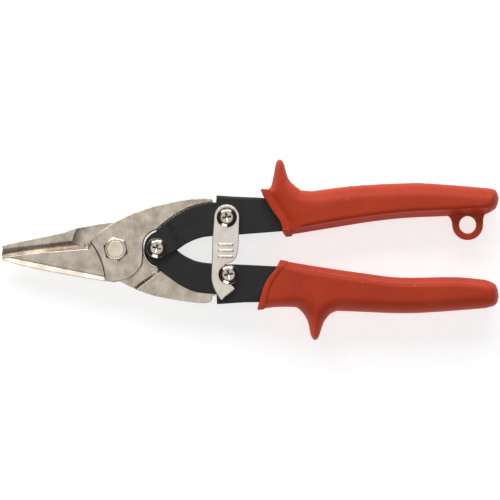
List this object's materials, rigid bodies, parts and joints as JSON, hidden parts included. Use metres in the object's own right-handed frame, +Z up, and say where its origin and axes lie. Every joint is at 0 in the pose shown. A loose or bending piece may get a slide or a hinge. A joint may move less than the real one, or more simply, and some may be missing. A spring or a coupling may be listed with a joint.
{
  "type": "aviation snips",
  "caption": "Straight-cut aviation snips with compound-action handles, a swinging latch and moulded grips with thumb stops and a hanging loop.",
  "frame": {"origin": "on the axis of the main pivot bolt, at bench level, where the bolt's end and nut rest", "axes": "+X from the blade tips towards the handle ends, +Y towards the handle with the hanging loop, +Z up from the bench through the bolt's head"},
  "size_m": [0.2485, 0.0905, 0.02],
  "materials": {
    "jaw_steel": "satin forged and ground steel",
    "bolt_steel": "warm plated steel, slightly rough on the face",
    "handle_black": "satin black coated sheet steel",
    "screw_nickel": "polished dark nickel plate",
    "latch_zinc": "pale tumbled nickel plate",
    "spring_steel": "dark oiled spring wire",
    "grip_red": "matte dipped and moulded vinyl"
  },
  "bodies": {
    "front_jaw": {"front_jaw": "jaw_steel", "pivot_bolt": "bolt_steel", "pivot_washer": "bolt_steel", "pivot_nut": "bolt_steel"},
    "rear_jaw": {"rear_jaw": "jaw_steel"},
    "upper_handle": {"upper_handle": "handle_black", "upper_grip": "grip_red", "handle_screw": "screw_nickel", "handle_nut": "screw_nickel", "spring_sleeve": "spring_steel", "opening_spring": "spring_steel", "upper_tail_screw": "screw_nickel", "upper_tail_nut": "screw_nickel", "latch_washer": "screw_nickel"},
    "lower_handle": {"lower_handle": "handle_black", "lower_grip": "grip_red", "lower_catch_screw": "screw_nickel", "lower_tail_nut": "screw_nickel"},
    "latch": {"latch": "latch_zinc"}
  },
  "joints": [
    {"name": "jaw_open", "type": "hinge", "parent": "front_jaw", "child": "rear_jaw", "pos_m": [0, 0, 0.01], "axis": [0, 0, -1], "range_deg": [0, 20]},
    {"name": "upper_handle_turn", "type": "hinge", "parent": "front_jaw", "child": "upper_handle", "pos_m": [0.05534, 0.01597, 0.01], "axis": [0, 0, 1], "range_deg": [0, 6.6], "deforming": ["opening_spring"]},
    {"name": "lower_handle_turn", "type": "hinge", "parent": "rear_jaw", "child": "lower_handle", "pos_m": [0.05623, -0.01247, 0.01], "axis": [0, 0, -1], "range_deg": [0, 6.6]},
    {"name": "latch_swing", "type": "hinge", "parent": "upper_handle", "child": "latch", "pos_m": [0.05534, 0.01597, 0.016], "axis": [0, 0, -1], "range_deg": [0, 41]}
  ],
  "couplings": [
    {"joint": "upper_handle_turn", "follows": "jaw_open", "ratio": 0.325},
    {"joint": "lower_handle_turn", "follows": "jaw_open", "ratio": 0.325},
    {"joint": "latch_swing", "follows": "jaw_open", "ratio": 2}
  ]
}
